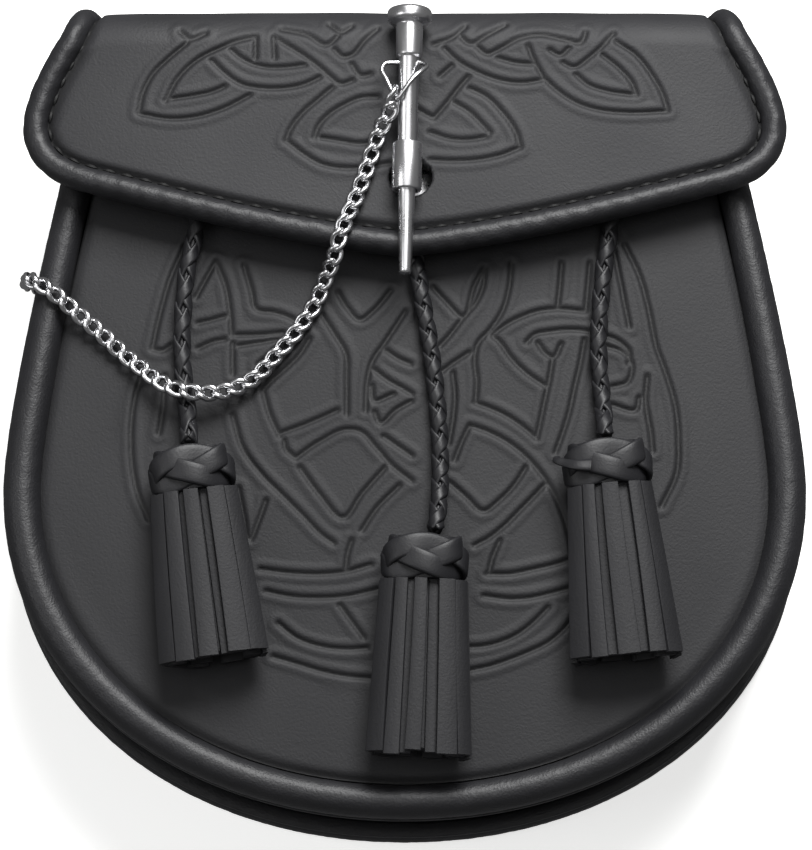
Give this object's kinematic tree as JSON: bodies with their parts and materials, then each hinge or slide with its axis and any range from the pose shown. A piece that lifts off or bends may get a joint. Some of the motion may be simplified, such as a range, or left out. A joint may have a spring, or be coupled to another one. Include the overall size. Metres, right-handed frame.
{
  "type": "sporran pouch",
  "caption": "Black leather pouch worn at the front of a kilt, with an embossed flap, a pin lock on a chain and plaited tassels, lying on its back.",
  "frame": {"origin": "middle of the pouch's outline on the surface it lies on", "axes": "+X to the pouch's right as it is looked at from the front, +Y towards the flap's fold, +Z out of the front panel"},
  "size_m": [0.1902, 0.1981, 0.0597],
  "materials": {
    "body_leather": "embossed grained leather, semi-matt",
    "flap_leather": "embossed grained leather, semi-matt",
    "edge_leather": "rolled leather edge, soft sheen",
    "plait_leather": "plaited leather lace, waxed",
    "fringe_leather": "cut leather strips, semi-matt",
    "polished_nickel": "turned and nickel plated, polished",
    "chain_nickel": "drawn wire, nickel plated"
  },
  "bodies": {
    "root": {"front_panel": "body_leather", "back_panel": "body_leather", "gusset": "body_leather", "front_piping": "edge_leather", "back_piping": "edge_leather", "belt_loop_left": "body_leather", "belt_loop_right": "body_leather", "flap": "flap_leather", "flap_piping": "edge_leather", "lock_pin": "polished_nickel", "lock_keeper": "polished_nickel", "pin_ring": "chain_nickel", "chain_run_1": "chain_nickel", "chain_run_2": "chain_nickel", "chain_run_3": "chain_nickel", "chain_run_4": "chain_nickel", "chain_run_5": "chain_nickel", "chain_run_6": "chain_nickel", "chain_anchor": "chain_nickel", "tassel_anchor_left": "plait_leather", "tassel_cord_left": "plait_leather", "tassel_knot_left": "plait_leather", "tassel_skirt_left": "fringe_leather", "tassel_anchor_centre": "plait_leather", "tassel_cord_centre": "plait_leather", "tassel_knot_centre": "plait_leather", "tassel_skirt_centre": "fringe_leather", "tassel_anchor_right": "plait_leather", "tassel_cord_right": "plait_leather", "tassel_knot_right": "plait_leather", "tassel_skirt_right": "fringe_leather"}
  },
  "joints": []
}
